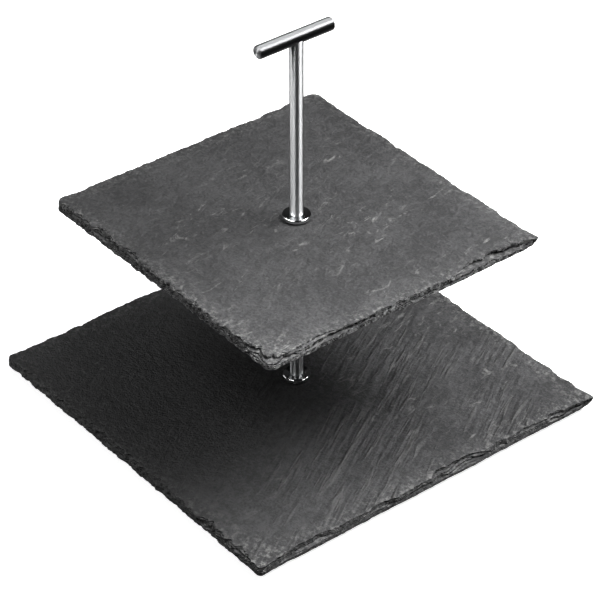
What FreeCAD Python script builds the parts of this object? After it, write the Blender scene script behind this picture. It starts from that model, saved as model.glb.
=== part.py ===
"""Two-tier cake stand: two square slate trays on a slim metal column with a T-handle.

The column is built up from turned metal pieces and clamps each tray between
rubber gaskets and round rosettes. The handle's tie stud screws down through the
upper tray into the lower post, and a flat-headed screw holds the lower tray
from below. Four rubber feet carry the stand.

Units are millimetres. The origin is on the column's axis, in the plane that the
feet stand on, with +Z up. The handle's bar runs along Y.
"""

import FreeCAD
import Part

import math
import os
import random

from FreeCAD import Vector

# ---------------------------------------------------------------- driving sizes

# Slate trays, hand-trimmed from riven stone. The side lengths are those of the
# lower outline, which is the larger one because the trimmed edge slopes outwards.
lower_slate_length_x = 250.0
lower_slate_length_y = 250.0
upper_slate_length_x = 203.5
upper_slate_length_y = 194.5
upper_slate_shift_x = -0.4
upper_slate_shift_y = -1.6
slate_thickness = 5.0
slate_hole_clearance = 1.5
edge_slope = 2.6
edge_waver = 1.4
corner_cut = 3.0
trims_per_side = 13
lower_slate_seed = 11
upper_slate_seed = 23

# Round bar stock and its ends. The bar is tapped a little off its middle. The seat
# land is the least width of flat post end that bears on a rosette round its bore.
post_diameter = 8.0
post_end_chamfer = 1.0
post_seat_land = 0.25
lower_post_length = 103.9
bar_diameter = 8.0
bar_length = 52.0
bar_shift_y = -1.4
bar_end_chamfer = 0.7
handle_rise = 116.8
cope_tip_wall = 0.2

# Rosettes: turned discs that spread the clamping force. Each is dished on the
# side of its post, and the post's end stands in the dish.
rosette_diameter = 17.0
rosette_height = 2.3
rosette_edge_round = 0.9
rosette_rim_land = 0.2
rosette_dish_depth = 0.8
rosette_seat_margin = 0.3
rosette_bore_clearance = 0.25

# Gaskets between metal and stone.
gasket_thickness = 1.0
gasket_margin = 0.5
gasket_bore_clearance = 1.0

# M5 studs and screw, with plain cylinders for their threads.
thread_diameter = 5.0
thread_clearance = 0.05
tapped_hole_spare = 2.0
thread_end_chamfer = 0.5
tie_stud_in_lower_post = 12.0
tie_stud_in_upper_post = 12.0
handle_stud_in_post = 9.0
handle_stud_in_bar = 4.5
screw_in_post = 10.0
screw_head_diameter = 13.0
screw_head_height = 2.0
screw_head_round = 0.6
screw_socket_across_flats = 3.0
screw_socket_depth = 1.4
washer_diameter = 15.0
washer_thickness = 0.8
washer_bore_clearance = 0.15

# Rubber feet, stuck to the underside near the corners.
foot_diameter = 13.0
foot_side_taper = 1.5
foot_edge_round = 0.8
foot_inset = 30.0
screw_head_table_gap = 1.2

# ------------------------------------------------------------------ the stack

# Heights of the seats, from the table upwards.
lower_slate_bottom = screw_head_table_gap + screw_head_height + washer_thickness + gasket_thickness
lower_slate_top = lower_slate_bottom + slate_thickness
lower_rosette_bottom = lower_slate_top + gasket_thickness
lower_post_bottom = lower_rosette_bottom + rosette_height - rosette_dish_depth
lower_post_top = lower_post_bottom + lower_post_length
middle_rosette_bottom = lower_post_top - rosette_dish_depth
middle_rosette_top = middle_rosette_bottom + rosette_height
upper_slate_bottom = middle_rosette_top + gasket_thickness
upper_slate_top = upper_slate_bottom + slate_thickness
upper_rosette_bottom = upper_slate_top + gasket_thickness
upper_post_bottom = upper_rosette_bottom + rosette_height - rosette_dish_depth
bar_axis_height = upper_post_bottom + handle_rise
bar_underside = bar_axis_height - bar_diameter / 2

tapped_hole_diameter = thread_diameter + 2 * thread_clearance
rosette_bore = thread_diameter + 2 * rosette_bore_clearance
seated_wall = (post_diameter - rosette_bore) / 2
seated_end_chamfer = min(post_end_chamfer, seated_wall - post_seat_land)
cut_overshoot = 1.0
up = Vector(0, 0, 1)


# -------------------------------------------------------------------- helpers

def cylinder(diameter, bottom, top):
    """An upright cylinder on the column's axis between two heights."""
    return Part.makeCylinder(diameter / 2, top - bottom, Vector(0, 0, bottom), up)


def bored(solid, diameter, bottom, top):
    """The solid with an upright hole on the column's axis."""
    return solid.cut(cylinder(diameter, bottom, top))


def level_circles(solid, diameter, height):
    """The solid's level circular edges of that diameter at that height."""
    found = []
    for edge in solid.Edges:
        if not isinstance(edge.Curve, Part.Circle):
            continue
        same_size = abs(edge.Curve.Radius - diameter / 2) < 1e-6
        level = edge.BoundBox.ZLength < 1e-6
        if same_size and level and abs(edge.BoundBox.ZMin - height) < 1e-6:
            found.append(edge)
    return found


def chamfered(solid, amount, diameter, height):
    """The solid with its circular edge at that height chamfered."""
    return solid.makeChamfer(amount, level_circles(solid, diameter, height))


def rounded(solid, radius, diameter, height):
    """The solid with its circular edge at that height rounded."""
    return solid.makeFillet(radius, level_circles(solid, diameter, height))


def save(name, solid):
    """Write one closed solid to parts/NAME.step."""
    solid = solid.removeSplitter()
    if not solid.isValid() or len(solid.Solids) != 1:
        raise ValueError(f"{name} is not one valid solid")
    solid.exportStep(os.path.join("parts", name + ".step"))
    print(f"{name}: {solid.Volume / 1000:.3f} cm3")


# ------------------------------------------------------------------ slate trays

def trimmed_side(length, waver, chance):
    """Points along one trimmed side, as (distance from its middle, bite inwards).

    The shallowest bite of a side is zero, so that the side reaches its full size.
    """
    half = length / 2 - corner_cut
    places = [half * (2 * i / (trims_per_side - 1) - 1) for i in range(trims_per_side)]
    bites = [waver * chance.random() for _ in places]
    shallowest = min(bites)
    return [(place, bite - shallowest) for place, bite in zip(places, bites)]


def trimmed_outline(length_x, length_y, inset, height, waver, seed):
    """A closed wire round a tray at one height, its corners knocked off."""
    chance = random.Random(seed)
    points = []
    for quarter_turns in range(4):
        along, across = (length_x, length_y) if quarter_turns % 2 == 0 else (length_y, length_x)
        direction = Vector(math.cos(quarter_turns * math.pi / 2), math.sin(quarter_turns * math.pi / 2), 0)
        outwards = Vector(direction.y, -direction.x, 0)
        for place, bite in trimmed_side(along - 2 * inset, waver, chance):
            points.append(direction * place + outwards * (across / 2 - inset - bite) + up * height)
    return Part.makePolygon(points + points[:1])


def slate_tray(length_x, length_y, bottom, shift_x, shift_y, seed):
    """A flat tray with rough sloping edges and a hole for the column."""
    top = bottom + slate_thickness
    lower_outline = trimmed_outline(length_x, length_y, 0.0, bottom, edge_waver / 2, seed)
    upper_outline = trimmed_outline(
        length_x, length_y, edge_slope - edge_waver / 2, top, edge_waver, seed + 1
    )
    tray = Part.makeLoft([lower_outline, upper_outline], True, True)
    tray.translate(Vector(shift_x, shift_y, 0))
    return bored(tray, thread_diameter + 2 * slate_hole_clearance, bottom, top)


# ---------------------------------------------------------------- column pieces

def gasket(bottom):
    """A flat rubber ring."""
    top = bottom + gasket_thickness
    ring = cylinder(rosette_diameter - 2 * gasket_margin, bottom, top)
    return bored(ring, thread_diameter + 2 * gasket_bore_clearance, bottom, top)


def rosette(bottom, post_is_above):
    """A turned disc, bored for the thread, its edge rounded and its face dished on the post's side."""
    top = bottom + rosette_height
    dished_face = top if post_is_above else bottom
    inwards = Vector(0, 0, -1) if post_is_above else up
    rim_radius = rosette_diameter / 2 - rosette_edge_round - rosette_rim_land
    seat_radius = post_diameter / 2 + rosette_seat_margin
    disc = cylinder(rosette_diameter, bottom, top)
    disc = rounded(disc, rosette_edge_round, rosette_diameter, dished_face)
    dish = Part.makeCone(rim_radius, seat_radius, rosette_dish_depth, Vector(0, 0, dished_face), inwards)
    return bored(disc.cut(dish), rosette_bore, bottom, top)


def stud(bottom, top):
    """A threaded stud with chamfered ends."""
    rod = cylinder(thread_diameter, bottom, top)
    rod = chamfered(rod, thread_end_chamfer, thread_diameter, bottom)
    return chamfered(rod, thread_end_chamfer, thread_diameter, top)


def lower_post():
    """The spacer between the trays, tapped at both ends."""
    post = cylinder(post_diameter, lower_post_bottom, lower_post_top)
    post = chamfered(post, seated_end_chamfer, post_diameter, lower_post_bottom)
    post = chamfered(post, seated_end_chamfer, post_diameter, lower_post_top)
    screw_hole_top = lower_post_bottom + screw_in_post + tapped_hole_spare
    post = bored(post, tapped_hole_diameter, lower_post_bottom, screw_hole_top)
    stud_hole_bottom = lower_post_top - tie_stud_in_lower_post - tapped_hole_spare
    return bored(post, tapped_hole_diameter, stud_hole_bottom, lower_post_top)


def bar_stock():
    """The cross bar as plain round stock along Y."""
    start = Vector(0, bar_shift_y - bar_length / 2, bar_axis_height)
    return Part.makeCylinder(bar_diameter / 2, bar_length, start, Vector(0, 1, 0))


def upper_post():
    """The handle's upright: tapped at both ends, its top coped to sit round the bar."""
    tip_x = min(bar_diameter, post_diameter) / 2 - cope_tip_wall
    post_top = bar_axis_height - math.sqrt((bar_diameter / 2) ** 2 - tip_x ** 2)
    post = cylinder(post_diameter, upper_post_bottom, post_top)
    post = chamfered(post, seated_end_chamfer, post_diameter, upper_post_bottom)
    post = post.cut(bar_stock())
    tie_hole_top = upper_post_bottom + tie_stud_in_upper_post + tapped_hole_spare
    post = bored(post, tapped_hole_diameter, upper_post_bottom, tie_hole_top)
    handle_hole_bottom = bar_underside - handle_stud_in_post - tapped_hole_spare
    return bored(post, tapped_hole_diameter, handle_hole_bottom, bar_axis_height)


def handle_bar():
    """The cross bar: chamfered ends and a blind tapped hole in its underside."""
    bar = bar_stock()
    end_edges = [edge for edge in bar.Edges if isinstance(edge.Curve, Part.Circle)]
    bar = bar.makeChamfer(bar_end_chamfer, end_edges)
    hole_top = bar_underside + handle_stud_in_bar + thread_clearance
    return bored(bar, tapped_hole_diameter, bar_underside - cut_overshoot, hole_top)


def hexagon(across_flats, height):
    """A level hexagonal face centred on the column's axis."""
    corner_radius = across_flats / math.sqrt(3)
    corners = []
    for i in range(7):
        angle = i * math.pi / 3
        corners.append(Vector(corner_radius * math.cos(angle), corner_radius * math.sin(angle), height))
    return Part.Face(Part.makePolygon(corners))


def base_screw():
    """The flat-headed socket screw that holds the lower tray from below."""
    head_bottom = screw_head_table_gap
    head_top = head_bottom + screw_head_height
    shank_top = lower_post_bottom + screw_in_post
    head = cylinder(screw_head_diameter, head_bottom, head_top)
    head = rounded(head, screw_head_round, screw_head_diameter, head_bottom)
    shank = cylinder(thread_diameter, head_top, shank_top)
    shank = chamfered(shank, thread_end_chamfer, thread_diameter, shank_top)
    socket = hexagon(screw_socket_across_flats, head_bottom).extrude(up * screw_socket_depth)
    return head.fuse(shank).cut(socket)


def base_washer():
    """The steel washer over the screw's head."""
    bottom = screw_head_table_gap + screw_head_height
    top = bottom + washer_thickness
    disc = cylinder(washer_diameter, bottom, top)
    return bored(disc, thread_diameter + 2 * washer_bore_clearance, bottom, top)


def foot(side_x, side_y):
    """One tapered rubber foot with a flat sole."""
    sole_diameter = foot_diameter - 2 * foot_side_taper
    cone = Part.makeCone(sole_diameter / 2, foot_diameter / 2, lower_slate_bottom)
    cone = rounded(cone, foot_edge_round, sole_diameter, 0.0)
    x = side_x * (lower_slate_length_x / 2 - foot_inset)
    y = side_y * (lower_slate_length_y / 2 - foot_inset)
    cone.translate(Vector(x, y, 0))
    return cone


# --------------------------------------------------------------------- assembly

os.makedirs("parts", exist_ok=True)

# Lower tier and its fixings.
lower_slate = slate_tray(
    lower_slate_length_x, lower_slate_length_y, lower_slate_bottom, 0.0, 0.0, lower_slate_seed
)
save("lower_slate", lower_slate)
save("foot_left", foot(-1, -1))
save("foot_front", foot(1, -1))
save("foot_right", foot(1, 1))
save("foot_back", foot(-1, 1))
save("base_gasket", gasket(lower_slate_bottom - gasket_thickness))
save("base_washer", base_washer())
save("base_screw", base_screw())
save("lower_gasket", gasket(lower_slate_top))
save("lower_rosette", rosette(lower_rosette_bottom, True))
save("lower_post", lower_post())
save("middle_rosette", rosette(middle_rosette_bottom, False))

# Upper tier, which can be turned about the column.
upper_slate = slate_tray(
    upper_slate_length_x,
    upper_slate_length_y,
    upper_slate_bottom,
    upper_slate_shift_x,
    upper_slate_shift_y,
    upper_slate_seed,
)
save("upper_slate", upper_slate)
save("upper_slate_under_gasket", gasket(middle_rosette_top))
save("upper_slate_top_gasket", gasket(upper_slate_top))

# Handle, which screws down on to the upper tier.
save("upper_rosette", rosette(upper_rosette_bottom, True))
save("tie_stud", stud(lower_post_top - tie_stud_in_lower_post, upper_post_bottom + tie_stud_in_upper_post))
save("upper_post", upper_post())
save("handle_stud", stud(bar_underside - handle_stud_in_post, bar_underside + handle_stud_in_bar))
save("handle_bar", handle_bar())

print(f"overall height {bar_axis_height + bar_diameter / 2:.1f} mm")
print(f"gap between the tiers {upper_slate_bottom - lower_slate_top:.1f} mm")
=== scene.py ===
"""Tiered cake stand: two hand-trimmed slate trays on a chromed column with a T-handle."""
import math

import bmesh
import bpy
import numpy as np
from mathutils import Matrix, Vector


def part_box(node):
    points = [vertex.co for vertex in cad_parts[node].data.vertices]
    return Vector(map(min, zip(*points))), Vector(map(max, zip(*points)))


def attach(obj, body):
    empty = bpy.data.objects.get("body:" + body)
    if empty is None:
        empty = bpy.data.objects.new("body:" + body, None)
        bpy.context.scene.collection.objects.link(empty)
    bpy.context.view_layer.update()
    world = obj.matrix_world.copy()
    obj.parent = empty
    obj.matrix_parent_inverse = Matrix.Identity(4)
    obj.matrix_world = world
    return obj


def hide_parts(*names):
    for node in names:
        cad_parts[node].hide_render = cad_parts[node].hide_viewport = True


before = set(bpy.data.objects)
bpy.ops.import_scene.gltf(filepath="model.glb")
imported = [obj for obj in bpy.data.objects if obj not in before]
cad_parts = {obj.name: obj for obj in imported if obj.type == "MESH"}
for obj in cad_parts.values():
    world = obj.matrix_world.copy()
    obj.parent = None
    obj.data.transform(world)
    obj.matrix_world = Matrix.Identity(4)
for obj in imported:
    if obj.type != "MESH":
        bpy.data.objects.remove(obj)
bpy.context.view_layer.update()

mm = 0.001

# ------------------------------------------------------------------ camera
# A long lens looks down at the front corner of the trays, with the bar of the
# handle rising to the right.
camera_azimuth = math.radians(51.48)
camera_elevation = math.radians(35.56)
camera_distance = 1.667
aim_to_the_side = 0.0020
aim_height = 0.0660

towards_camera = Vector((
    math.sin(camera_azimuth) * math.cos(camera_elevation),
    -math.cos(camera_azimuth) * math.cos(camera_elevation),
    math.sin(camera_elevation),
))
camera_right = Vector((math.cos(camera_azimuth), math.sin(camera_azimuth), 0.0))
aim = camera_right * aim_to_the_side + Vector((0.0, 0.0, aim_height))
bpy.ops.object.camera_add(location=aim + towards_camera * camera_distance)
camera = bpy.context.object
camera.name = "camera"
camera.rotation_euler = towards_camera.to_track_quat("Z", "Y").to_euler()
camera.data.sensor_width = 36.0
camera.data.lens = 171.2
camera.data.clip_end = 50.0
bpy.context.scene.camera = camera


# ------------------------------------------------------------------ floor
# A plain, pale floor of matt studio paint. It gives off its own light, so that it
# stays white round the stand, and it lies a hair below the feet.
floor_size = 12.0
floor_drop = 0.05 * mm
floor_glow = 0.95


def linear(hex_colour):
    """An sRGB hex colour as linear RGBA."""
    channels = [int(hex_colour[i:i + 2], 16) / 255 for i in (1, 3, 5)]
    return [c / 12.92 if c <= 0.04045 else ((c + 0.055) / 1.055) ** 2.4 for c in channels] + [1.0]


def new_material(name):
    """A material with an empty Principled shader; gives the material, its tree and the shader."""
    material = bpy.data.materials.new(name)
    material.use_nodes = True
    tree = material.node_tree
    return material, tree, tree.nodes["Principled BSDF"]


bpy.ops.mesh.primitive_plane_add(size=floor_size)
floor = bpy.context.object
floor.name = "studio_floor"
floor.location.z = -floor_drop
floor_material, tree, shader = new_material("matt white studio paint")
shader.inputs["Base Color"].default_value = linear("#f4f4f4")
shader.inputs["Roughness"].default_value = 1.0
shader.inputs["Specular IOR Level"].default_value = 0.0
shader.inputs["Emission Color"].default_value = linear("#ffffff")
shader.inputs["Emission Strength"].default_value = floor_glow
floor.data.materials.append(floor_material)
floor.visible_glossy = False
floor.visible_diffuse = False

# ------------------------------------------------------------------ lights
# Soft studio light. Three boxes light the stone: the key from the right, one behind
# and a low fill in front. Three cards are there only for the chrome to reflect.
# The room is nearly black to everything but the camera, which sees it pale.
lights_aim_height = 0.12
low_room_light = 0.015
high_room_light = 0.035
backdrop_light = 0.9


def node(tree, kind, settings=None, links=None):
    """Adds a node with its settings (properties and socket values) and its input links."""
    new = tree.nodes.new(kind)
    for key, value in (settings or {}).items():
        if isinstance(key, str) and hasattr(new, key):
            setattr(new, key, value)
        else:
            new.inputs[key].default_value = value
    for key, source in (links or {}).items():
        tree.links.new(source, new.inputs[key])
    return new


def two_tones(tree, value, low_place, low_colour, high_place, high_colour):
    """A colour that runs from one tone to another as a value rises."""
    ramp = node(tree, "ShaderNodeValToRGB", {}, {"Fac": value})
    low_end, high_end = ramp.color_ramp.elements
    low_end.position = low_place
    low_end.color = low_colour
    high_end.position = high_place
    high_end.color = high_colour
    return ramp.outputs["Color"]


def blend(tree, share, first, second):
    """The first colour where the share is 0 and the second where it is 1."""
    mix = node(tree, "ShaderNodeMix", {"data_type": "RGBA"}, {"Factor": share})
    for socket, colour in ((mix.inputs[6], first), (mix.inputs[7], second)):
        if isinstance(colour, bpy.types.NodeSocket):
            tree.links.new(colour, socket)
        else:
            socket.default_value = colour
    return mix.outputs[2]


def grey(level):
    """A grey of that linear light level."""
    return (level, level, level, 1)


def softbox(name, azimuth, elevation, distance, width, height, power):
    """An area light that faces the stand. Azimuth is counted from the camera, to the right."""
    turn = camera_azimuth + math.radians(azimuth)
    lift = math.radians(elevation)
    away = Vector((math.sin(turn) * math.cos(lift), -math.cos(turn) * math.cos(lift), math.sin(lift)))
    bpy.ops.object.light_add(type="AREA", location=Vector((0, 0, lights_aim_height)) + away * distance)
    light = bpy.context.object
    light.name = name
    light.rotation_euler = away.to_track_quat("Z", "Y").to_euler()
    light.data.shape = "RECTANGLE"
    light.data.size = width
    light.data.size_y = height
    light.data.energy = power
    return light


key_softbox = softbox("key_softbox", 98, 56, distance=0.95, width=0.72, height=0.5, power=14.5)
back_softbox = softbox("back_softbox", 180, 68, distance=1.6, width=1.2, height=0.7, power=4)
front_fill = softbox("front_fill", -30, 8, distance=1.6, width=1.0, height=0.5, power=2.6)
for box in (key_softbox, back_softbox, front_fill):
    box.visible_glossy = False

right_card = softbox("right_card", 85, 49, distance=1.3, width=1.1, height=0.46, power=40)
left_card = softbox("left_card", -69, 52, distance=1.5, width=1.85, height=0.5, power=50)
low_card = softbox("low_card", -103, -15, distance=0.36, width=0.2, height=0.2, power=0.35)
for card in (right_card, left_card, low_card):
    card.visible_diffuse = False
low_card.visible_camera = False

world = bpy.data.worlds.new("pale studio room")
world.use_nodes = True
tree = world.node_tree
direction = node(tree, "ShaderNodeTexCoord").outputs["Generated"]
height = node(tree, "ShaderNodeSeparateXYZ", {}, {0: direction}).outputs["Z"]
room = two_tones(tree, height, 0.30, grey(low_room_light), 0.9, grey(high_room_light))
to_camera = node(tree, "ShaderNodeLightPath").outputs["Is Camera Ray"]
seen = blend(tree, to_camera, room, grey(backdrop_light))
tree.links.new(seen, tree.nodes["Background"].inputs["Color"])
bpy.context.scene.world = world
bpy.context.scene.view_settings.view_transform = "Standard"

# ------------------------------------------------------------------ slate trays
# Each tray is a slab of natural slate, riven along its cleavage and trimmed by
# hand, so its edges are broken back in thin layers. The column's stud passes
# through a drilled hole in the middle.
# The sizes of this section are in millimetres, apart from the hair, which is in metres.
cell = 2.2
layers = 7
rows = 2 * layers - 1
edge_band = 12.0
hole_diameter = 8.0
calm_radius = 13.0
lattice_size = 97
corner_taper = 14.0
least_taper = 0.15
least_inset = 0.1
bite_reach = 120.0
ledge_lean = 0.7
worn_rim_width = 1.2
bottom_relief = 0.12
riven_direction = math.radians(123)
hair = 1e-6


def wander(x, y, spacing, seed):
    """A smooth random field from -1 to 1 with a bump about every `spacing` millimetres."""
    lattice = np.random.default_rng(seed).uniform(-1.0, 1.0, (lattice_size, lattice_size))
    u, v = np.asarray(x) / spacing, np.asarray(y) / spacing
    i, j = np.floor(u).astype(int), np.floor(v).astype(int)
    fu, fv = u - i, v - j
    fu, fv = fu * fu * (3 - 2 * fu), fv * fv * (3 - 2 * fv)
    i, j = i % lattice_size, j % lattice_size
    next_i, next_j = (i + 1) % lattice_size, (j + 1) % lattice_size
    near = lattice[i, j] * (1 - fu) + lattice[next_i, j] * fu
    far = lattice[i, next_j] * (1 - fu) + lattice[next_i, next_j] * fu
    return near * (1 - fv) + far * fv


def slab_blank(name, low, high):
    """A closed slab with fine columns down its sides and a fine band round its top."""
    length = high - low
    cells = [round(length[axis] / mm / cell) for axis in (0, 1)]
    bpy.ops.object.select_all(action="DESELECT")
    bpy.ops.mesh.primitive_grid_add(
        x_subdivisions=cells[0],
        y_subdivisions=cells[1],
        size=1.0,
        location=((low.x + high.x) / 2, (low.y + high.y) / 2, low.z),
    )
    slab = bpy.context.object
    slab.scale = (length.x, length.y, 1.0)
    slab.name = name
    slab.data.name = name
    bpy.ops.object.transform_apply(location=True, rotation=True, scale=True)
    bpy.ops.object.mode_set(mode="EDIT")
    bpy.ops.mesh.select_all(action="SELECT")
    for _ in range(rows):
        bpy.ops.mesh.extrude_region_move(TRANSFORM_OT_translate={"value": (0, 0, length.z / rows)})
    bpy.context.tool_settings.mesh_select_mode = (False, True, False)
    bpy.ops.mesh.select_all(action="DESELECT")
    edit = bmesh.from_edit_mesh(slab.data)
    step = max(length.x / cells[0], length.y / cells[1])

    def depth(vertex):
        """How far a vertex lies inside the slab's outline."""
        x_depth = min(high.x - vertex.co.x, vertex.co.x - low.x)
        return min(x_depth, high.y - vertex.co.y, vertex.co.y - low.y)

    for edge in edit.edges:
        a, b = edge.verts
        level = abs(a.co.z - b.co.z) < hair
        on_side = level and max(depth(a), depth(b)) < hair
        in_band = level and a.co.z > high.z - hair and max(depth(a), depth(b)) < step + hair
        edge.select_set(on_side or in_band)
    bmesh.update_edit_mesh(slab.data)
    bpy.ops.mesh.subdivide(number_cuts=3)
    bpy.ops.mesh.select_all(action="SELECT")
    bpy.ops.mesh.normals_make_consistent(inside=False)
    bpy.ops.object.mode_set(mode="OBJECT")
    return slab


def bite(along, chance, narrowest, widest, least_share, deepest, bluntness):
    """One bite out of a side: its depth all along the side, and the layer that it starts at."""
    middle = chance.uniform(-bite_reach, bite_reach)
    half_width = chance.uniform(narrowest, widest)
    depth = chance.uniform(least_share, 1.0) * deepest
    start = chance.integers(2, layers - 1)
    arc = np.clip(1 - ((along - middle) / half_width) ** 2, 0, 1) ** bluntness
    return depth * arc, start


def broken_edge(x, y, height, along, half_length, row, side, seed):
    """How far the trimmed edge lies inside the slab's outline at one row, in millimetres."""
    layer = row // 2
    rise = layer / (layers - 1)
    run = x + y
    taper = np.clip((half_length - np.abs(along)) / corner_taper, least_taper, 1.0)
    lobes = side["waver"] * (0.5 + 0.5 * wander(x, y, 17.0, seed))
    slope = side["slope"] * rise * (1.0 + 0.4 * wander(x, y, 31.0, seed + 1))
    layered = 0.40 * wander(x, y, 6.0, seed + 10 + layer) + 0.25 * wander(x, y, 2.6, seed + 30 + layer)
    coarse_grain = 0.65 * wander(run, height * 1.6, 2.3, seed + 2)
    fine_grain = 0.50 * wander(run, height * 1.3, 1.25, seed + 3)
    grainy = coarse_grain + fine_grain
    crumbled = side["crumble"] * (0.30 + 0.70 * rise)
    scallops = side["scallop"] * (0.5 + 0.5 * wander(x, y, 5.5, seed + 4)) ** 1.5
    inset = least_inset + (lobes + slope + scallops + crumbled * (layered + grainy)) * taper
    chance = np.random.default_rng(seed + 70)
    # A flake takes off every layer from one upwards; a crack goes into a single layer.
    for _ in range(side["flakes"]):
        depth, lowest = bite(along, chance, 4, side["flake_reach"], 0.5, side["flake_depth"], 0.7)
        inset = inset + np.where(layer >= lowest, depth * taper ** 2, 0.0)
    for _ in range(side["cracks"]):
        depth, at_layer = bite(along, chance, 3, side["flake_reach"], 0.6, side["crack_depth"], 0.5)
        inset = inset + np.where(layer == at_layer, depth * taper ** 2, 0.0)
    return np.maximum(inset, 0.0)


def break_edges(slab, low, high, sides, corners, broken_corners, seed):
    """Shapes a slab blank: rounds its corners, breaks its edges in layers, and rivens its faces."""
    mesh = slab.data
    co = np.empty(len(mesh.vertices) * 3)
    mesh.vertices.foreach_get("co", co)
    co = co.reshape(-1, 3)
    middle = np.array([(low.x + high.x) / 2, (low.y + high.y) / 2, low.z])
    x0, y0, z0 = ((co - middle) / mm).T
    half_x, half_y = (high.x - low.x) / 2 / mm, (high.y - low.y) / 2 / mm
    thickness = (high.z - low.z) / mm
    row = np.rint(z0 / thickness * rows).astype(int)
    layer = row // 2
    x, y = x0.copy(), y0.copy()

    # Corners: each is rounded or cut off within its own radius.
    for (sx, sy), (radius, bluntness) in corners.items():
        qx, qy = sx * x0 - (half_x - radius), sy * y0 - (half_y - radius)
        inside = (qx > 0) & (qy > 0)
        reach = np.maximum(qx, qy)[inside]
        length = (np.abs(qx) ** bluntness + np.abs(qy) ** bluntness)[inside] ** (1 / bluntness)
        x[inside] = sx * (half_x - radius + qx[inside] * reach / length)
        y[inside] = sy * (half_y - radius + qy[inside] * reach / length)

    # Sides: every layer has its own broken outline, which fades out inside the edge band.
    for number, ((axis, sign), side) in enumerate(sides.items()):
        across, along, half, half_length = y0, x0, half_y, half_x
        if axis == "x":
            across, along, half, half_length = x0, y0, half_x, half_y
        depth = half - sign * across
        fade = np.clip(1 - depth / edge_band, 0, 1) ** 2
        rim_x = np.full_like(along, sign * half) if axis == "x" else along
        rim_y = along if axis == "x" else np.full_like(along, sign * half)
        inset = broken_edge(rim_x, rim_y, z0, along, half_length, row, side, seed + 100 * number)
        if axis == "x":
            x = x - sign * inset * fade
        else:
            y = y - sign * inset * fade

    # Some corners have lost layers in ledges, listed from the lowest layer up.
    for (sx, sy), reach, losses in broken_corners:
        away = np.hypot(half_x - sx * x0, half_y - sy * y0)
        ragged = 1 + 0.35 * wander(x0, y0, 6.0, seed + 7) + 0.25 * wander(x0, y0, 2.0, seed + 8)
        loss = np.array(losses)[layer] * np.clip(1 - away / reach, 0, 1) ** 1.2 * ragged
        x = x - sx * loss * ledge_lean
        y = y - sy * loss * ledge_lean

    # Heights: uneven layers on the sides, and a gently riven relief on both faces.
    chance = np.random.default_rng(seed + 3)
    shares = np.cumsum(np.append(0.0, chance.uniform(0.6, 1.5, layers)))
    shares = shares / shares[-1]
    boundary = (row + 1) // 2
    z = thickness * shares[boundary]
    within = (boundary > 0) & (boundary < layers)
    jagged = 0.16 * wander(x0, y0, 24.0, seed + 4) + 0.10 * wander(x0, y0, 2.4, seed + 11)
    z = z + np.where(within, jagged + 0.03 * np.where(row % 2 == 1, -1, 1), 0)
    from_column = np.hypot(x0 + middle[0] / mm, y0 + middle[1] / mm)
    calm = np.clip((from_column - calm_radius) / calm_radius, 0, 1)
    lengthwise = x0 * math.cos(riven_direction) + y0 * math.sin(riven_direction)
    crosswise = y0 * math.cos(riven_direction) - x0 * math.sin(riven_direction)
    swell = 0.16 * wander(x0, y0, 42.0, seed + 5)
    relief = swell + 0.10 * wander(crosswise, lengthwise / 7, 6.0, seed + 6)
    from_rim = np.minimum(half_x - np.abs(x0), half_y - np.abs(y0))
    worn_rim = np.clip(1 - from_rim / worn_rim_width, 0, 1)
    top, bottom = row == rows, row == 0
    z = z + np.where(top, calm * relief - worn_rim * (0.16 + 0.12 * wander(x0, y0, 2.2, seed + 9)), 0)
    z = z + np.where(bottom, 0.6 * calm * np.minimum(relief, bottom_relief), 0)
    co = np.stack([x, y, z], axis=1) * mm + middle
    mesh.vertices.foreach_set("co", co.ravel())
    mesh.update()


def select_only(piece):
    """Makes one piece the only selected object and the active one."""
    bpy.ops.object.select_all(action="DESELECT")
    piece.select_set(True)
    bpy.context.view_layer.objects.active = piece


def combine(piece, other, operation, label):
    """Applies one boolean between a piece and a helper solid, and removes the helper."""
    select_only(piece)
    step = piece.modifiers.new(label, "BOOLEAN")
    step.operation = operation
    step.object = other
    step.solver = "EXACT"
    bpy.ops.object.modifier_apply(modifier=step.name)
    bpy.data.objects.remove(other)


def drill(slab, low, high):
    """Drills the hole for the stud."""
    bpy.ops.object.select_all(action="DESELECT")
    bpy.ops.mesh.primitive_cylinder_add(
        vertices=48,
        radius=hole_diameter / 2 * mm,
        depth=4 * (high.z - low.z),
        location=(0, 0, (low.z + high.z) / 2),
    )
    combine(slab, bpy.context.object, "DIFFERENCE", "drilled hole")


def finish_slab(slab):
    """Smooth faces, crisp broken edges."""
    select_only(slab)
    bpy.ops.object.shade_smooth_by_angle(angle=math.radians(18))


def noise_at(tree, place, scale, detail, roughness=0.5, distortion=0.0):
    """A noise from 0 to 1. Its scale counts bumps per metre, so 250 is one every 4 mm."""
    settings = {"Scale": scale, "Detail": detail, "Roughness": roughness, "Distortion": distortion}
    return node(tree, "ShaderNodeTexNoise", settings, {"Vector": place}).outputs["Fac"]


def remap(tree, value, from_low, from_high, to_low=0.0, to_high=1.0):
    """A value taken from one range to another and held inside it."""
    settings = {"From Min": from_low, "From Max": from_high, "To Min": to_low, "To Max": to_high}
    return node(tree, "ShaderNodeMapRange", settings, {"Value": value}).outputs[0]


def calculate(tree, operation, *terms):
    """A sum on numbers; each term is another node's output or a plain number."""
    new = node(tree, "ShaderNodeMath", {"operation": operation})
    for index, term in enumerate(terms):
        if isinstance(term, bpy.types.NodeSocket):
            tree.links.new(term, new.inputs[index])
        else:
            new.inputs[index].default_value = term
    return new.outputs[0]


def scaled(tree, colour, factor):
    """A colour made lighter or darker by a factor."""
    links = {0: colour, "Scale": factor}
    return node(tree, "ShaderNodeVectorMath", {"operation": "SCALE"}, links).outputs[0]


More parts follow.
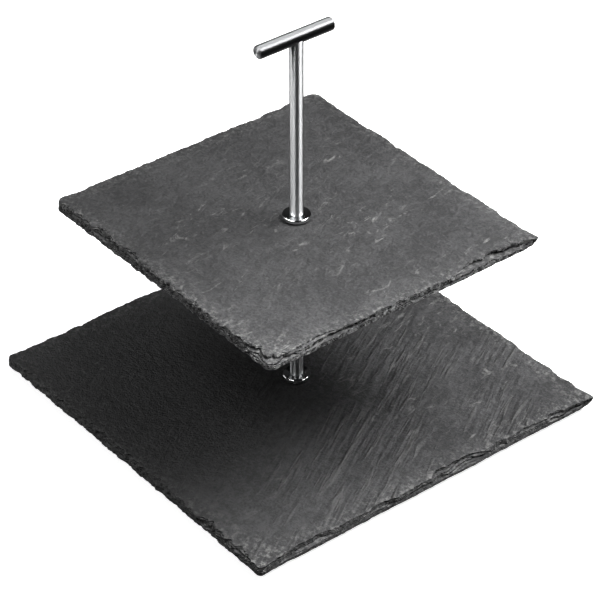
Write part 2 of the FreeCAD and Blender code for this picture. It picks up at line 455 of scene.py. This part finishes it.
def drawn_out(tree, place, direction, length):
    """Places turned about Z by some degrees and drawn out along that direction."""
    settings = {
        "vector_type": "TEXTURE",
        "Rotation": (0, 0, math.radians(direction)),
        "Scale": (length, 1.0, 1.0),
    }
    return node(tree, "ShaderNodeMapping", settings, {"Vector": place}).outputs[0]


def bump(tree, height, distance, under=None):
    """The normal of a bump, laid over the normal of another where one is given."""
    links = {"Height": height}
    if under is not None:
        links["Normal"] = under
    return node(tree, "ShaderNodeBump", {"Strength": 1.0, "Distance": distance}, links).outputs["Normal"]


def nearness_to_rim(tree, place, half_x, half_y):
    """0 at the middle of a tray, rising to 1 at its sides."""
    inward = node(tree, "ShaderNodeVectorMath", {"operation": "ABSOLUTE"}, {0: place}).outputs[0]
    settings = {"operation": "MULTIPLY", 1: (1 / half_x, 1 / half_y, 0)}
    shares = node(tree, "ShaderNodeVectorMath", settings, {0: inward}).outputs[0]
    sides = node(tree, "ShaderNodeSeparateXYZ", {}, {0: shares})
    return calculate(tree, "MAXIMUM", sides.outputs["X"], sides.outputs["Y"])


def brokenness(tree):
    """0 on the flat faces of a tray and 1 on its broken edges."""
    normal = node(tree, "ShaderNodeNewGeometry").outputs["Normal"]
    upright = node(tree, "ShaderNodeSeparateXYZ", {}, {0: normal}).outputs["Z"]
    return remap(tree, calculate(tree, "ABSOLUTE", upright), 0.92, 0.70)


def slate_material(
    name,
    stone,
    dark_stone,
    edge_stone_with_painted_light,
    scuff,
    grooving,
    groove_start,
    bruising,
    pebbling,
    painted_front_sheen_gain,
    wear_start,
    half_x,
    half_y,
):
    """Riven slate: dull, grainy stone with pale scuffs and long grooves along its cleavage."""
    material, tree, shader = new_material(name)
    shader.inputs["Specular IOR Level"].default_value = 0.25
    place = node(tree, "ShaderNodeTexCoord").outputs["Object"]
    axes = node(tree, "ShaderNodeSeparateXYZ", {}, {0: place}).outputs
    rightward = calculate(tree, "ADD", axes["X"], axes["Y"])
    forward = calculate(tree, "SUBTRACT", axes["X"], axes["Y"])
    clouds = noise_at(tree, place, 24.0, 4.0, 0.6)
    mottle = noise_at(tree, place, 230.0, 3.0, 0.6)
    grain = noise_at(tree, place, 620.0, 3.0, 0.75)
    pits = noise_at(tree, place, 380.0, 4.0, 0.6)
    broken = brokenness(tree)

    # Grooves follow the cleavage, with sharper scores among them. They come and go in
    # patches and grow stronger to the right.
    along_cleavage = drawn_out(tree, place, 121, 8.0)
    scores = remap(tree, noise_at(tree, along_cleavage, 270.0, 2.0, 0.5, 0.3), 0.57, 0.65, 0.0, 0.22)
    grooves = calculate(tree, "ADD", noise_at(tree, along_cleavage, 210.0, 3.5, 0.55), scores)
    patch = remap(tree, noise_at(tree, place, 20.0, 2.0), 0.42, 0.58, 0.12, 1.0)
    rising = remap(tree, rightward, groove_start * mm, (groove_start + 110) * mm, 0.15, 1.0)
    grooved = calculate(tree, "MULTIPLY", patch, rising)

    # Scuffs are pale, wispy marks in loose clusters, and all over a worn front corner.
    worn_corner = remap(tree, forward, wear_start * mm, (wear_start + 45) * mm)
    along_scuffs = drawn_out(tree, place, 103, 2.2)
    cluster = remap(tree, noise_at(tree, along_scuffs, 28.0, 2.0, 0.6), 0.47, 0.64)
    cluster = calculate(tree, "MAXIMUM", cluster, worn_corner)
    mark = remap(tree, noise_at(tree, along_scuffs, 190.0, 4.5, 0.64, 0.8), 0.58, 0.74, 0.0, scuff)
    scuffed = calculate(tree, "MULTIPLY", mark, cluster)

    # Pale dust and bruises speckle the rims, most of all at the front corner.
    rim = remap(tree, nearness_to_rim(tree, place, half_x, half_y), 0.86, 1.0, 0.0, 0.55)
    worn = calculate(tree, "MAXIMUM", rim, worn_corner)
    specks = remap(tree, noise_at(tree, place, 330.0, 5.0, 0.7), 0.50, 0.64, 0.0, 0.9)
    scuffed = calculate(tree, "MULTIPLY_ADD", specks, worn, scuffed)

    # The tone of the stone is a sum of clouds, mottling and grain, and pale marks lie over it.
    tone = calculate(tree, "MULTIPLY", clouds, 0.32)
    tone = calculate(tree, "MULTIPLY_ADD", mottle, 0.28, tone)
    tone = calculate(tree, "MULTIPLY_ADD", grain, 0.40, tone)
    shade = two_tones(tree, tone, 0.445, linear(dark_stone), 0.575, linear(stone))
    bruised = calculate(tree, "MULTIPLY", scores, grooved)
    bruised = calculate(tree, "MULTIPLY_ADD", bruised, bruising, scuffed)
    colour = blend(tree, bruised, shade, linear("#a9a9a7"))

    # Painted light: the colour is painted lighter from left to right, where the key light from the right
    # falls, and on the upper tray lighter again towards its front corner as a painted sheen. The broken
    # edges have dark pits, which are painted shade.
    painted_side_light = remap(tree, axes["X"], -100 * mm, 100 * mm, 0.66, 1.10)
    front = remap(tree, forward, 60 * mm, 190 * mm, 1.0, painted_front_sheen_gain)
    colour_with_painted_light = scaled(tree, scaled(tree, colour, painted_side_light), front)
    # Painted light and painted shade on the broken edges: their stone is paler than the faces, as
    # fresh-broken slate is, but the upper tray's very pale edge colour is painted light standing in for
    # a fill on its sides, the lower tray's darker one is painted shade, and the near-black pits are
    # painted shade in the hollows.
    fracture_with_painted_light = two_tones(tree, pits, 0.475, linear("#080809"), 0.56, linear(edge_stone_with_painted_light))
    tree.links.new(blend(tree, broken, colour_with_painted_light, fracture_with_painted_light), shader.inputs["Base Color"])
    tree.links.new(remap(tree, mottle, 0.0, 1.0, 0.55, 0.78), shader.inputs["Roughness"])

    # The relief, from the long grooves down to the grain, and rubble on the broken edges.
    relief = bump(tree, calculate(tree, "MULTIPLY", grooves, grooved), grooving * mm)
    relief = bump(tree, mottle, pebbling * mm, relief)
    relief = bump(tree, grain, 0.55 * mm, relief)
    relief = bump(tree, calculate(tree, "MULTIPLY", pits, broken), 2.5 * mm, relief)
    tree.links.new(relief, shader.inputs["Normal"])
    return material


def side_wear(
    slope, waver, scallop, crumble, flakes, cracks, flake_depth=1.0, flake_reach=9, crack_depth=1.0
):
    """How one side of a tray is broken back, in millimetres and in numbers of flakes and cracks."""
    return {
        "slope": slope,
        "waver": waver,
        "scallop": scallop,
        "crumble": crumble,
        "flakes": flakes,
        "flake_depth": flake_depth,
        "flake_reach": flake_reach,
        "cracks": cracks,
        "crack_depth": crack_depth,
    }


low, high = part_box("lower_slate")
lower_tray = slab_blank("lower_slate_riven", low, high)
lower_sides = {
    ("y", -1): side_wear(
        slope=2.2, waver=0.6, scallop=0.6, crumble=1.9, flakes=6, cracks=8,
        flake_depth=1.4,
    ),
    ("x", 1): side_wear(
        slope=1.6, waver=0.5, scallop=0.6, crumble=0.7, flakes=12, cracks=14,
        flake_depth=2.4, flake_reach=13, crack_depth=2.0,
    ),
    ("x", -1): side_wear(
        slope=0.6, waver=1.0, scallop=1.4, crumble=0.5, flakes=3, cracks=5,
    ),
    ("y", 1): side_wear(
        slope=0.6, waver=1.2, scallop=1.8, crumble=0.5, flakes=3, cracks=5,
    ),
}
lower_corners = {(-1, -1): (4.0, 1.4), (1, -1): (2.5, 1.5), (1, 1): (0.4, 2.0), (-1, 1): (4.0, 2.0)}
lower_breaks = [
    ((1, -1), 10.0, [0, 0, 0, 0.5, 1, 1.5, 1.5]),
    ((1, 1), 12.0, [1.8, 1.5, 1, 0.6, 0.2, 0, 0]),
]
break_edges(lower_tray, low, high, lower_sides, lower_corners, lower_breaks, 400)
drill(lower_tray, low, high)
finish_slab(lower_tray)
lower_stone = slate_material(
    "riven slate, strongly grooved",
    stone="#525253",
    dark_stone="#363637",
    # Painted shade: the lower tray's broken edges are given a darker stone, as if in shade.
    edge_stone_with_painted_light="#4e4e4e",
    scuff=0.6,
    grooving=3.8,
    groove_start=-40,
    bruising=0.7,
    pebbling=0.6,
    painted_front_sheen_gain=1.0,
    wear_start=200,
    half_x=(high.x - low.x) / 2,
    half_y=(high.y - low.y) / 2,
)
lower_tray.data.materials.append(lower_stone)
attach(lower_tray, "base")
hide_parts("lower_slate")

low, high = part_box("upper_slate")
upper_tray = slab_blank("upper_slate_riven", low, high)
upper_sides = {
    ("y", -1): side_wear(
        slope=3.2, waver=0.6, scallop=0.8, crumble=1.9, flakes=8, cracks=10,
        flake_depth=1.4, crack_depth=1.4,
    ),
    ("x", 1): side_wear(
        slope=1.2, waver=0.6, scallop=0.7, crumble=0.8, flakes=12, cracks=12,
        flake_depth=3.6, flake_reach=18, crack_depth=2.6,
    ),
    ("x", -1): side_wear(
        slope=0.8, waver=0.9, scallop=1.2, crumble=0.6, flakes=4, cracks=6,
    ),
    ("y", 1): side_wear(
        slope=0.7, waver=0.9, scallop=1.3, crumble=0.6, flakes=4, cracks=6,
    ),
}
upper_corners = {(-1, -1): (7.0, 2.0), (1, -1): (4.0, 1.4), (1, 1): (0.4, 2.0), (-1, 1): (8.0, 2.0)}
upper_breaks = [
    ((1, -1), 28.0, [0, 0, 0.4, 1.0, 7.5, 5.5, 6.0]),
    ((1, 1), 15.0, [3, 2.6, 2, 1.2, 0.5, 0, 0]),
]
break_edges(upper_tray, low, high, upper_sides, upper_corners, upper_breaks, 900)
drill(upper_tray, low, high)
finish_slab(upper_tray)
upper_stone = slate_material(
    "riven slate, fine-grained",
    stone="#525253",
    dark_stone="#39393a",
    # Painted light: the upper tray's broken edges are given a pale stone, standing in for fill light on
    # its sides.
    edge_stone_with_painted_light="#a8a8a8",
    scuff=0.85,
    grooving=0.45,
    groove_start=-160,
    bruising=0.15,
    pebbling=1.5,
    # Painted sheen: the upper tray is painted half as light again towards its front corner.
    painted_front_sheen_gain=1.5,
    wear_start=158,
    half_x=(high.x - low.x) / 2,
    half_y=(high.y - low.y) / 2,
)
upper_tray.data.materials.append(upper_stone)
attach(upper_tray, "upper_tier")
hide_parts("upper_slate")

# ------------------------------------------------------------------ rosettes
# Turned and chromed steel discs that clamp the slates. Each is rounded at its
# edge, dished towards its post, and bored for the stud.
rosette_edge = 0.9 * mm
rosette_land = 0.2 * mm
dish_depth = 0.8 * mm
dish_rim_round = 0.15 * mm
seat_radius = 4.3 * mm
rosette_bore_radius = 2.75 * mm
machined_ease = 0.12 * mm
near = 0.01 * mm


def turned_blank(name, radius, bottom, top, sides):
    """A round blank on the column's axis, left open in edit mode with nothing selected."""
    bpy.ops.object.select_all(action="DESELECT")
    bpy.ops.mesh.primitive_cylinder_add(
        vertices=sides, radius=radius, depth=top - bottom, location=(0, 0, (bottom + top) / 2)
    )
    piece = bpy.context.object
    piece.name = name
    piece.data.name = name
    bpy.ops.object.transform_apply(location=True, rotation=True, scale=True)
    bpy.ops.object.mode_set(mode="EDIT")
    bpy.ops.mesh.select_all(action="DESELECT")
    return piece


def pick_faces(piece, *levels):
    """Selects only the end faces that lie across the axis at these heights, round the axis itself."""
    bpy.context.tool_settings.mesh_select_mode = (False, False, True)
    bpy.ops.mesh.select_all(action="DESELECT")
    edit = bmesh.from_edit_mesh(piece.data)
    for face in edit.faces:
        centre = face.calc_center_bounds()
        on_axis = math.hypot(centre.x, centre.y) < near
        face.select_set(on_axis and any(abs(centre.z - level) < near for level in levels))
    bmesh.update_edit_mesh(piece.data)


def pick_rims(piece, radius, *levels):
    """Selects only the circular edges of this radius at these heights."""
    bpy.context.tool_settings.mesh_select_mode = (False, True, False)
    bpy.ops.mesh.select_all(action="DESELECT")
    edit = bmesh.from_edit_mesh(piece.data)
    for edge in edit.edges:
        on_rim = all(abs(math.hypot(v.co.x, v.co.y) - radius) < 2 * near for v in edge.verts)
        at_level = any(all(abs(v.co.z - level) < near for v in edge.verts) for level in levels)
        edge.select_set(on_rim and at_level)
    bmesh.update_edit_mesh(piece.data)


def finish_turning(piece, material, body, replaced):
    bpy.ops.mesh.select_all(action="SELECT")
    bpy.ops.mesh.normals_make_consistent(inside=False)
    bpy.ops.object.mode_set(mode="OBJECT")
    bpy.ops.object.shade_smooth_by_angle(angle=math.radians(35))
    piece.data.materials.clear()
    piece.data.materials.append(material)
    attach(piece, body)
    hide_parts(replaced)


def mirror_chrome():
    """Mirror-polished chrome plate: sharp reflections, softened a little by handling and wiping."""
    material, tree, shader = new_material("mirror-polished chrome plate")
    shader.inputs["Base Color"].default_value = linear("#cfd0d1")
    shader.inputs["Metallic"].default_value = 1.0
    place = node(tree, "ShaderNodeTexCoord").outputs["Object"]
    smears = noise_at(tree, place, 260.0, 4.0, 0.6)
    tree.links.new(remap(tree, smears, 0.35, 0.75, 0.05, 0.14), shader.inputs["Roughness"])
    return material


mirror_finish = mirror_chrome()


def rosette(name, body, dished_up):
    """A turned disc in the place of a CAD rosette, dished upwards or downwards."""
    low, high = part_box(name)
    radius = (high.x - low.x) / 2
    dished, flat = (high.z, low.z) if dished_up else (low.z, high.z)
    seat = dished - dish_depth if dished_up else dished + dish_depth
    disc = turned_blank(name + "_turned", radius, low.z, high.z, 128)
    pick_rims(disc, radius, dished)
    bpy.ops.mesh.bevel(offset=rosette_edge, segments=8, profile=0.5, affect="EDGES")
    pick_rims(disc, radius, flat)
    bpy.ops.mesh.bevel(offset=machined_ease, segments=2, profile=0.5, affect="EDGES")
    pick_faces(disc, dished)
    bpy.ops.mesh.inset(thickness=rosette_land, depth=0.0)
    bpy.ops.mesh.inset(thickness=radius - rosette_edge - rosette_land - seat_radius, depth=-dish_depth)
    pick_rims(disc, radius - rosette_edge - rosette_land, dished)
    bpy.ops.mesh.bevel(offset=dish_rim_round, segments=3, profile=0.5, affect="EDGES")
    pick_faces(disc, seat)
    bpy.ops.mesh.inset(thickness=seat_radius - rosette_bore_radius, depth=0.0)
    pick_faces(disc, flat)
    bpy.ops.mesh.inset(thickness=radius - machined_ease - rosette_bore_radius, depth=0.0)
    pick_faces(disc, seat, flat)
    bpy.ops.mesh.bridge_edge_loops()
    finish_turning(disc, mirror_finish, body, name)


rosette("lower_rosette", "base", True)
rosette("middle_rosette", "base", False)
rosette("upper_rosette", "clamp_rosette", True)

# ------------------------------------------------------------------ posts
# Round steel bar, faced to length, chamfered at its ends and tapped for the
# studs, then turned bright and chromed. The upper one is coped to fit the bar.
post_chamfer = 1.0 * mm
tapped_radius = 2.55 * mm
tapped_depth = 14.0 * mm
tapped_under_bar = 11.0 * mm


def turned_chrome(name, colour, axis, roughness):
    """Chrome over fine turning rings: reflections stay sharp round the bar and stretch along it."""
    material, tree, shader = new_material(name)
    shader.inputs["Base Color"].default_value = linear(colour)
    shader.inputs["Metallic"].default_value = 1.0
    shader.inputs["Anisotropic"].default_value = 1.0
    shader.inputs["Anisotropic Rotation"].default_value = 0.25
    tangent = node(tree, "ShaderNodeTangent", {"direction_type": "RADIAL", "axis": axis})
    tree.links.new(tangent.outputs["Tangent"], shader.inputs["Tangent"])
    place = node(tree, "ShaderNodeTexCoord").outputs["Object"]
    marks = noise_at(tree, place, 300.0, 3.0)
    haze = remap(tree, marks, 0.0, 1.0, roughness - 0.04, roughness + 0.04)
    tree.links.new(haze, shader.inputs["Roughness"])
    return material


turned_finish = turned_chrome("chrome plate over fine turning marks, posts", "#bcbdbe", "Z", 0.45)


def tap(piece, level, depth, cap_radius):
    """A blind tapped hole in one end; depth is positive upwards."""
    pick_faces(piece, level)
    bpy.ops.mesh.inset(thickness=cap_radius - tapped_radius, depth=0.0)
    bpy.ops.mesh.extrude_region_move(TRANSFORM_OT_translate={"value": (0, 0, depth)})


low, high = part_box("lower_post")
post_radius = (high.x - low.x) / 2
post = turned_blank("lower_post_turned", post_radius, low.z, high.z, 96)
pick_rims(post, post_radius, low.z, high.z)
bpy.ops.mesh.bevel(offset=post_chamfer, segments=3, profile=0.35, affect="EDGES")
tap(post, low.z, tapped_depth, post_radius - post_chamfer)
tap(post, high.z, -tapped_depth, post_radius - post_chamfer)
finish_turning(post, turned_finish, "base", "lower_post")

low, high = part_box("upper_post")
bar_low, bar_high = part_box("handle_bar")
bar_axis = (bar_low.z + bar_high.z) / 2
bar_radius = (bar_high.z - bar_low.z) / 2
bar_middle = (bar_low.y + bar_high.y) / 2
post = turned_blank("upper_post_turned", post_radius, low.z, high.z, 96)
pick_rims(post, post_radius, low.z)
bpy.ops.mesh.bevel(offset=post_chamfer, segments=3, profile=0.35, affect="EDGES")
tap(post, low.z, tapped_depth, post_radius - post_chamfer)
tap(post, high.z, bar_axis - bar_radius - tapped_under_bar - high.z, post_radius)
bpy.ops.object.mode_set(mode="OBJECT")
bpy.ops.mesh.primitive_cylinder_add(
    vertices=96,
    radius=bar_radius,
    depth=4 * bar_radius,
    location=(0, 0, bar_axis),
    rotation=(math.radians(90), 0, 0),
)
combine(post, bpy.context.object, "DIFFERENCE", "coped end")
bpy.ops.object.mode_set(mode="EDIT")
finish_turning(post, turned_finish, "handle", "upper_post")

# ------------------------------------------------------------------ handle bar
# A short length of the same steel bar, rounded at both ends, drilled and tapped
# from below for its stud, then turned bright and chromed.
bar_round = 1.0 * mm
bar_sides = 96
stud_end_gap = 0.3 * mm

bpy.ops.object.select_all(action="DESELECT")
bpy.ops.mesh.primitive_cylinder_add(
    vertices=bar_sides,
    radius=bar_radius,
    depth=bar_high.y - bar_low.y,
    location=(0, bar_middle, bar_axis),
    rotation=(math.radians(90), 0, 0),
)
bar = bpy.context.object
bar.name = "handle_bar_polished"
bar.data.name = bar.name
bpy.ops.object.transform_apply(location=True, rotation=True, scale=True)
bpy.ops.object.mode_set(mode="EDIT")
bpy.context.tool_settings.mesh_select_mode = (False, True, False)
bpy.ops.mesh.select_all(action="DESELECT")
edit = bmesh.from_edit_mesh(bar.data)
for edge in edit.edges:
    a, b = edge.verts
    edge.select_set(abs(a.co.y - b.co.y) < near)
bmesh.update_edit_mesh(bar.data)
bpy.ops.mesh.bevel(offset=bar_round, segments=7, profile=0.5, affect="EDGES")
bpy.ops.object.mode_set(mode="OBJECT")
stud_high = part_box("handle_stud")[1]
bpy.ops.mesh.primitive_cylinder_add(
    vertices=48,
    radius=tapped_radius,
    depth=2 * (stud_high.z - bar_low.z + stud_end_gap),
    location=(0, 0, bar_low.z),
)
combine(bar, bpy.context.object, "DIFFERENCE", "tapped hole")
bpy.ops.object.mode_set(mode="EDIT")
# Painted shade: the bar gets a darker chrome colour than the posts, the same finish, to hold down the
# bright reflections along its top.
bar_finish_painted_dimmer = turned_chrome("chrome plate over fine turning marks, bar", "#959697", "Y", 0.56)
finish_turning(bar, bar_finish_painted_dimmer, "handle", "handle_bar")

# ------------------------------------------------------------------ studs
# Lengths of M5 threaded rod, cut and chamfered. One ties the posts together
# through the upper tray, the other holds the bar on its post.
pitch = 0.8 * mm
thread_depth = 0.49 * mm
crest_flat = 0.1 * mm
root_flat = 0.2 * mm
stud_chamfer = 0.5 * mm
sheath_clearance = 0.02 * mm


def bright_steel():
    """Bright zinc plate on rolled steel: a soft, slightly uneven shine."""
    material, tree, shader = new_material("bright zinc plate on rolled steel")
    shader.inputs["Metallic"].default_value = 1.0
    place = node(tree, "ShaderNodeTexCoord").outputs["Object"]
    spangle = noise_at(tree, place, 700.0, 3.0)
    shade = two_tones(tree, spangle, 0.35, linear("#a2a3a4"), 0.65, linear("#bfc0c1"))
    tree.links.new(shade, shader.inputs["Base Color"])
    tree.links.new(remap(tree, spangle, 0.0, 1.0, 0.28, 0.45), shader.inputs["Roughness"])
    return material


zinc_finish = bright_steel()


def threaded_rod(name, radius, bottom, top):
    """A closed rod with a real thread, chamfered at both ends; left in object mode."""
    turns = math.ceil((top - bottom) / pitch) + 3
    flank = (pitch - crest_flat - root_flat) / 2
    root = radius - thread_depth
    heights = [0.0, root_flat, root_flat + flank, root_flat + flank + crest_flat, pitch]
    radii = [root, root, radius, radius, root]
    start = bottom - 2 * pitch
    bpy.ops.object.select_all(action="DESELECT")
    mesh = bpy.data.meshes.new(name)
    corners = [(r, 0.0, start + z) for r, z in zip(radii, heights)]
    mesh.from_pydata(corners, [(i, i + 1) for i in range(4)], [])
    rod = bpy.data.objects.new(name, mesh)
    bpy.context.collection.objects.link(rod)
    select_only(rod)
    helix = rod.modifiers.new("thread", "SCREW")
    helix.axis = "Z"
    helix.steps = 32
    helix.render_steps = 32
    helix.screw_offset = pitch
    helix.iterations = turns
    bpy.ops.object.modifier_apply(modifier=helix.name)
    bpy.ops.object.mode_set(mode="EDIT")
    bpy.ops.mesh.select_all(action="SELECT")
    bpy.ops.mesh.remove_doubles(threshold=hair)
    bpy.ops.mesh.bisect(plane_co=(0, 0, bottom), plane_no=(0, 0, -1), use_fill=True, clear_outer=True)
    bpy.ops.mesh.select_all(action="SELECT")
    bpy.ops.mesh.bisect(plane_co=(0, 0, top), plane_no=(0, 0, 1), use_fill=True, clear_outer=True)
    bpy.ops.mesh.select_all(action="SELECT")
    bpy.ops.mesh.normals_make_consistent(inside=False)
    bpy.ops.object.mode_set(mode="OBJECT")
    sheath = turned_blank("sheath", radius + sheath_clearance, bottom, top, 48)
    pick_rims(sheath, radius + sheath_clearance, bottom, top)
    bpy.ops.mesh.bevel(offset=stud_chamfer, segments=1, affect="EDGES")
    bpy.ops.object.mode_set(mode="OBJECT")
    combine(rod, sheath, "INTERSECT", "chamfered ends")
    return rod


for stud_name in ("tie_stud", "handle_stud"):
    low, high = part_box(stud_name)
    rod = threaded_rod(stud_name + "_threaded", (high.x - low.x) / 2, low.z, high.z)
    bpy.ops.object.mode_set(mode="EDIT")
    finish_turning(rod, zinc_finish, "handle", stud_name)

# ------------------------------------------------------------------ gaskets
# Flat rings punched from black rubber sheet, one on each clamped face of each
# slate, so that the metal doesn't crack the stone.
gasket_bore_radius = 3.5 * mm
gasket_edge = 0.12 * mm


def black_rubber():
    """Black nitrile sheet: nearly black and dull, with the faint grain of the moulding cloth."""
    material, tree, shader = new_material("black nitrile rubber, moulded")
    place = node(tree, "ShaderNodeTexCoord").outputs["Object"]
    grain = noise_at(tree, place, 1400.0, 3.0, 0.6)
    dust = noise_at(tree, place, 180.0, 4.0, 0.7)
    shade = two_tones(tree, dust, 0.4, linear("#111112"), 0.75, linear("#242424"))
    tree.links.new(shade, shader.inputs["Base Color"])
    tree.links.new(remap(tree, grain, 0.0, 1.0, 0.5, 0.75), shader.inputs["Roughness"])
    tree.links.new(bump(tree, grain, 0.05 * mm), shader.inputs["Normal"])
    return material


rubber_finish = black_rubber()


def ring(name, body, bore, edge, material, suffix):
    """A flat ring with eased rims in the place of a CAD ring."""
    low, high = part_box(name)
    radius = (high.x - low.x) / 2
    piece = turned_blank(name + suffix, radius, low.z, high.z, 96)
    pick_rims(piece, radius, low.z, high.z)
    bpy.ops.mesh.bevel(offset=edge, segments=2, profile=0.5, affect="EDGES")
    for level in (low.z, high.z):
        pick_faces(piece, level)
        bpy.ops.mesh.inset(thickness=radius - edge - bore, depth=0.0)
    pick_faces(piece, low.z, high.z)
    bpy.ops.mesh.bridge_edge_loops()
    finish_turning(piece, material, body, name)


gasket_bodies = {
    "base_gasket": "base",
    "lower_gasket": "base",
    "upper_slate_under_gasket": "upper_tier",
    "upper_slate_top_gasket": "upper_tier",
}
for gasket_name, gasket_body in gasket_bodies.items():
    ring(gasket_name, gasket_body, gasket_bore_radius, gasket_edge, rubber_finish, "_punched")

# ------------------------------------------------------------------ base washer and screw
# A plain steel washer and a low, flat-headed socket screw hold the lower tray
# up against its post from below.
washer_bore_radius = 2.65 * mm
washer_edge = 0.1 * mm
shank_radius = 2.5 * mm
head_height = 2.0 * mm
head_round = 0.6 * mm
socket_across_flats = 3.0 * mm
socket_depth = 1.4 * mm

ring("base_washer", "base", washer_bore_radius, washer_edge, zinc_finish, "_stamped")

low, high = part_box("base_screw")
head_radius = (high.x - low.x) / 2
shank = threaded_rod("base_screw_shank", shank_radius, low.z + 0.5 * head_height, high.z)
screw = turned_blank("base_screw_headed", head_radius, low.z, low.z + head_height, 96)
pick_rims(screw, head_radius, low.z)
bpy.ops.mesh.bevel(offset=head_round, segments=5, profile=0.5, affect="EDGES")
pick_rims(screw, head_radius, low.z + head_height)
bpy.ops.mesh.bevel(offset=machined_ease, segments=2, profile=0.5, affect="EDGES")
bpy.ops.object.mode_set(mode="OBJECT")
bpy.ops.mesh.primitive_cylinder_add(
    vertices=6,
    radius=socket_across_flats / math.sqrt(3),
    depth=2 * socket_depth,
    location=(0, 0, low.z),
)
hexagon = bpy.context.object
combine(screw, shank, "UNION", "shank")
combine(screw, hexagon, "DIFFERENCE", "hex socket")
bpy.ops.object.mode_set(mode="EDIT")
finish_turning(screw, zinc_finish, "base", "base_screw")

# ------------------------------------------------------------------ feet
# Four tapered rubber feet, moulded with a rounded sole and glued under the
# lower tray near its corners.
sole_radius = 5.0 * mm
sole_round = 0.8 * mm
foot_top_ease = 0.25 * mm

for foot_name in ("foot_left", "foot_front", "foot_right", "foot_back"):
    low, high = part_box(foot_name)
    bpy.ops.object.select_all(action="DESELECT")
    bpy.ops.mesh.primitive_cone_add(
        vertices=64, radius1=sole_radius, radius2=(high.x - low.x) / 2, depth=high.z - low.z
    )
    foot = bpy.context.object
    foot.name = foot_name + "_moulded"
    foot.data.name = foot.name
    foot.location.z = (low.z + high.z) / 2
    bpy.ops.object.transform_apply(location=True, rotation=True, scale=True)
    bpy.ops.object.mode_set(mode="EDIT")
    pick_rims(foot, sole_radius, low.z)
    bpy.ops.mesh.bevel(offset=sole_round, segments=5, profile=0.5, affect="EDGES")
    pick_rims(foot, (high.x - low.x) / 2, high.z)
    bpy.ops.mesh.bevel(offset=foot_top_ease, segments=2, profile=0.5, affect="EDGES")
    bpy.ops.object.mode_set(mode="OBJECT")
    foot.location.x = (low.x + high.x) / 2
    foot.location.y = (low.y + high.y) / 2
    bpy.ops.object.transform_apply(location=True, rotation=True, scale=True)
    bpy.ops.object.mode_set(mode="EDIT")
    finish_turning(foot, rubber_finish, "base", foot_name)
